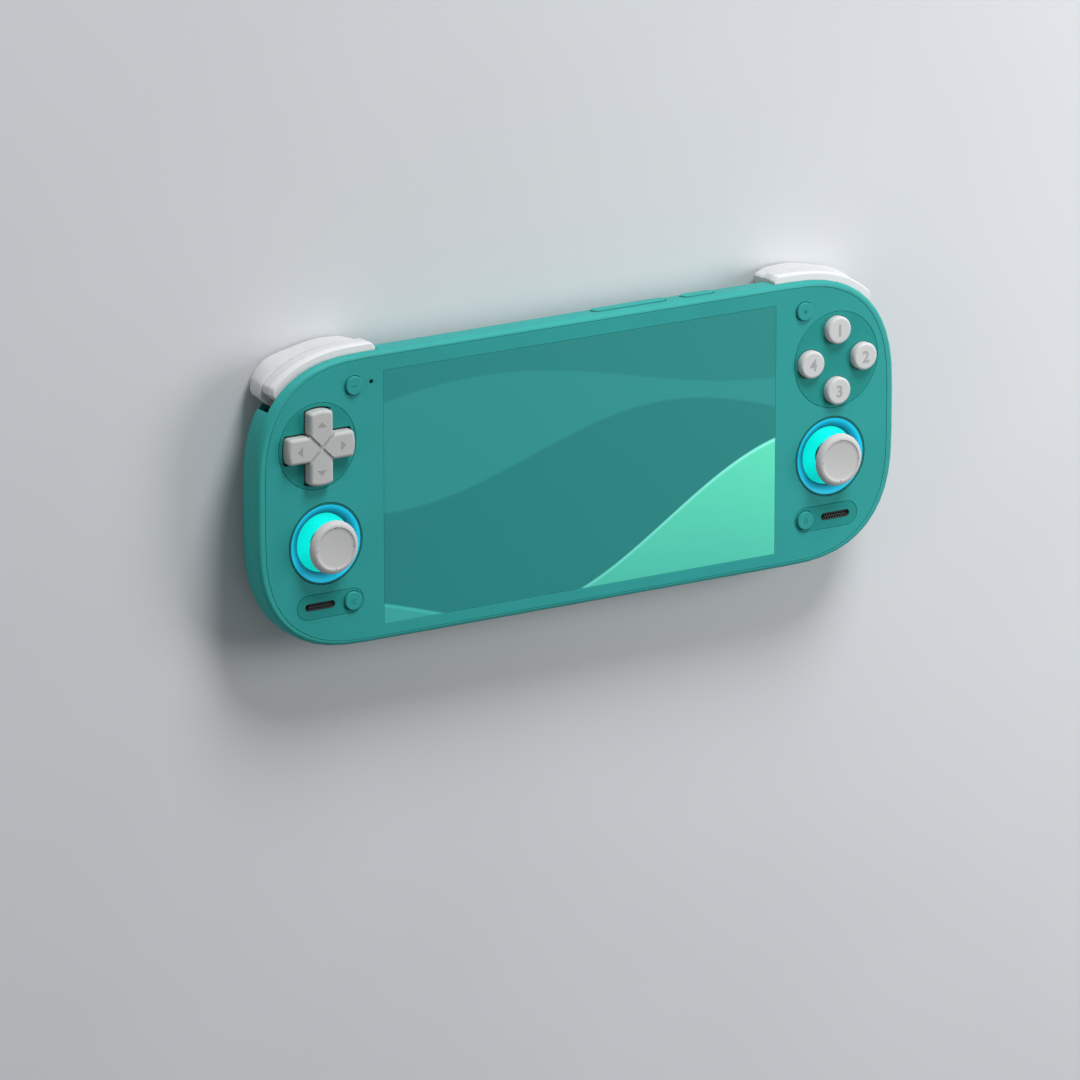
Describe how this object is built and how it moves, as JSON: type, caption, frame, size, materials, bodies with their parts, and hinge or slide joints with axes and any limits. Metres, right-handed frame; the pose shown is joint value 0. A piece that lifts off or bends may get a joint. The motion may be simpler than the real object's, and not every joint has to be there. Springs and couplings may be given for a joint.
{
  "type": "handheld game console",
  "caption": "Flat handheld game console with a wide flush screen, cross pad, round buttons, two lit thumb sticks, shoulder keys and a rounded two-part case.",
  "frame": {"origin": "middle of the flat back face, on the surface the console lies on", "axes": "+X to the right of the screen, +Y to the top edge, +Z out of the screen"},
  "size_m": [0.1984, 0.0804, 0.0209],
  "materials": {
    "teal_plastic": "satin",
    "teal_inlay": "satin",
    "white_plastic": "satin",
    "stick_rubber": "matte",
    "frame_alloy": "cast",
    "screen_glass": "polished",
    "screen_panel": "gloss",
    "black_plastic": "matte",
    "mesh_steel": "matte",
    "light_blue": "gloss",
    "light_cyan": "gloss",
    "circuit_board": "satin",
    "steel": "satin",
    "membrane_rubber": "matte",
    "battery_wrap": "matte",
    "cable_film": "satin",
    "inner_plastic": "satin"
  },
  "bodies": {
    "console": {"front_frame": "teal_plastic", "front_panel": "teal_plastic", "rear_shell": "teal_plastic", "inner_frame": "frame_alloy", "screen_lens": "screen_glass", "display_panel": "screen_panel", "dpad_inlay": "teal_inlay", "face_inlay": "teal_inlay", "left_speaker_inlay": "teal_inlay", "right_speaker_inlay": "teal_inlay", "speaker_meshes": "mesh_steel", "light_rings": "light_blue", "light_discs": "light_cyan", "left_speaker": "black_plastic", "right_speaker": "black_plastic", "left_board": "circuit_board", "right_board": "circuit_board", "main_board": "circuit_board", "key_board": "circuit_board", "tact_switches": "steel", "microphone": "steel", "dpad_membrane": "membrane_rubber", "face_membrane": "membrane_rubber", "battery": "battery_wrap", "heat_spreader": "steel", "usb_port": "steel", "headphone_jack": "black_plastic", "card_slot": "steel", "left_stick_base": "black_plastic", "right_stick_base": "black_plastic", "shoulder_pins": "steel", "trigger_springs": "steel", "ribbon_cables": "cable_film", "case_screws": "steel", "board_screws": "steel"},
    "pad_pivot": {"dpad_pivot": "inner_plastic"},
    "pad": {"dpad": "white_plastic"},
    "button_1": {"button_1": "white_plastic"},
    "button_2": {"button_2": "white_plastic"},
    "button_3": {"button_3": "white_plastic"},
    "button_4": {"button_4": "white_plastic"},
    "left_top_button": {"left_top_button": "teal_plastic"},
    "left_low_button": {"left_low_button": "teal_plastic"},
    "right_top_button": {"right_top_button": "teal_plastic"},
    "right_low_button": {"right_low_button": "teal_plastic"},
    "left_stick_carrier": {"left_stick_carrier": "steel"},
    "left_stick_yoke": {"left_stick_yoke": "inner_plastic"},
    "left_stick": {"left_stick_shaft": "steel", "left_stick_cap": "stick_rubber"},
    "left_bumper": {"left_bumper": "white_plastic"},
    "left_trigger": {"left_trigger": "white_plastic"},
    "right_stick_carrier": {"right_stick_carrier": "steel"},
    "right_stick_yoke": {"right_stick_yoke": "inner_plastic"},
    "right_stick": {"right_stick_shaft": "steel", "right_stick_cap": "stick_rubber"},
    "right_bumper": {"right_bumper": "white_plastic"},
    "right_trigger": {"right_trigger": "white_plastic"},
    "volume_rocker": {"volume_rocker": "teal_plastic"},
    "power_button": {"power_button": "teal_plastic"}
  },
  "joints": [
    {"name": "pad_rock_up_down", "type": "hinge", "parent": "console", "child": "pad_pivot", "pos_m": [-0.081, 0.0164, 0.0109], "axis": [1, 0, 0], "range_deg": [-3.5, 3.5], "stiffness_Nm_per_rad": 0.2},
    {"name": "pad_rock_left_right", "type": "hinge", "parent": "pad_pivot", "child": "pad", "pos_m": [-0.081, 0.0164, 0.0109], "axis": [0, 1, 0], "range_deg": [-3.5, 3.5], "stiffness_Nm_per_rad": 0.2},
    {"name": "button_1_press", "type": "slide", "parent": "console", "child": "button_1", "axis": [0, 0, -1], "range_m": [0, 0.0012], "stiffness_N_per_m": 600, "springref_m": -0.0005},
    {"name": "button_2_press", "type": "slide", "parent": "console", "child": "button_2", "axis": [0, 0, -1], "range_m": [0, 0.0012], "stiffness_N_per_m": 600, "springref_m": -0.0005},
    {"name": "button_3_press", "type": "slide", "parent": "console", "child": "button_3", "axis": [0, 0, -1], "range_m": [0, 0.0012], "stiffness_N_per_m": 600, "springref_m": -0.0005},
    {"name": "button_4_press", "type": "slide", "parent": "console", "child": "button_4", "axis": [0, 0, -1], "range_m": [0, 0.0012], "stiffness_N_per_m": 600, "springref_m": -0.0005},
    {"name": "left_top_button_press", "type": "slide", "parent": "console", "child": "left_top_button", "axis": [0, 0, -1], "range_m": [0, 0.0006], "stiffness_N_per_m": 1500, "springref_m": -0.0003},
    {"name": "left_low_button_press", "type": "slide", "parent": "console", "child": "left_low_button", "axis": [0, 0, -1], "range_m": [0, 0.0006], "stiffness_N_per_m": 1500, "springref_m": -0.0003},
    {"name": "right_top_button_press", "type": "slide", "parent": "console", "child": "right_top_button", "axis": [0, 0, -1], "range_m": [0, 0.0006], "stiffness_N_per_m": 1500, "springref_m": -0.0003},
    {"name": "right_low_button_press", "type": "slide", "parent": "console", "child": "right_low_button", "axis": [0, 0, -1], "range_m": [0, 0.0006], "stiffness_N_per_m": 1500, "springref_m": -0.0003},
    {"name": "left_stick_click", "type": "slide", "parent": "console", "child": "left_stick_carrier", "axis": [0, 0, -1], "range_m": [0, 0.0004], "stiffness_N_per_m": 4000, "springref_m": -0.0005},
    {"name": "left_stick_tilt_up_down", "type": "hinge", "parent": "left_stick_carrier", "child": "left_stick_yoke", "pos_m": [-0.07865, -0.0102, 0.0094], "axis": [1, 0, 0], "range_deg": [-15, 15], "stiffness_Nm_per_rad": 0.03},
    {"name": "left_stick_tilt_left_right", "type": "hinge", "parent": "left_stick_yoke", "child": "left_stick", "pos_m": [-0.07865, -0.0102, 0.0094], "axis": [0, 1, 0], "range_deg": [-15, 15], "stiffness_Nm_per_rad": 0.03},
    {"name": "left_bumper_press", "type": "hinge", "parent": "console", "child": "left_bumper", "pos_m": [-0.066, 0.02725, 0.00772], "axis": [0, 0, 1], "range_deg": [0, 2], "stiffness_Nm_per_rad": 0.5, "springref_deg": -1.15},
    {"name": "left_trigger_pull", "type": "hinge", "parent": "console", "child": "left_trigger", "pos_m": [-0.066, 0.02725, 0.00318], "axis": [0, 0, 1], "range_deg": [0, 4.5], "stiffness_Nm_per_rad": 0.15, "springref_deg": -2.86},
    {"name": "right_stick_click", "type": "slide", "parent": "console", "child": "right_stick_carrier", "axis": [0, 0, -1], "range_m": [0, 0.0004], "stiffness_N_per_m": 4000, "springref_m": -0.0005},
    {"name": "right_stick_tilt_up_down", "type": "hinge", "parent": "right_stick_carrier", "child": "right_stick_yoke", "pos_m": [0.07865, -0.0102, 0.0094], "axis": [1, 0, 0], "range_deg": [-15, 15], "stiffness_Nm_per_rad": 0.03},
    {"name": "right_stick_tilt_left_right", "type": "hinge", "parent": "right_stick_yoke", "child": "right_stick", "pos_m": [0.07865, -0.0102, 0.0094], "axis": [0, 1, 0], "range_deg": [-15, 15], "stiffness_Nm_per_rad": 0.03},
    {"name": "right_bumper_press", "type": "hinge", "parent": "console", "child": "right_bumper", "pos_m": [0.066, 0.02725, 0.00772], "axis": [0, 0, -1], "range_deg": [0, 2], "stiffness_Nm_per_rad": 0.5, "springref_deg": -1.15},
    {"name": "right_trigger_pull", "type": "hinge", "parent": "console", "child": "right_trigger", "pos_m": [0.066, 0.02725, 0.00318], "axis": [0, 0, -1], "range_deg": [0, 4.5], "stiffness_Nm_per_rad": 0.15, "springref_deg": -2.86},
    {"name": "volume_rock", "type": "hinge", "parent": "console", "child": "volume_rocker", "pos_m": [0.0174, 0.035, 0.0107], "axis": [0, 0, 1], "range_deg": [-2.01, 2.01], "stiffness_Nm_per_rad": 0.3},
    {"name": "power_press", "type": "slide", "parent": "console", "child": "power_button", "axis": [0, -1, 0], "range_m": [0, 0.0004], "stiffness_N_per_m": 2500, "springref_m": -0.0003}
  ]
}
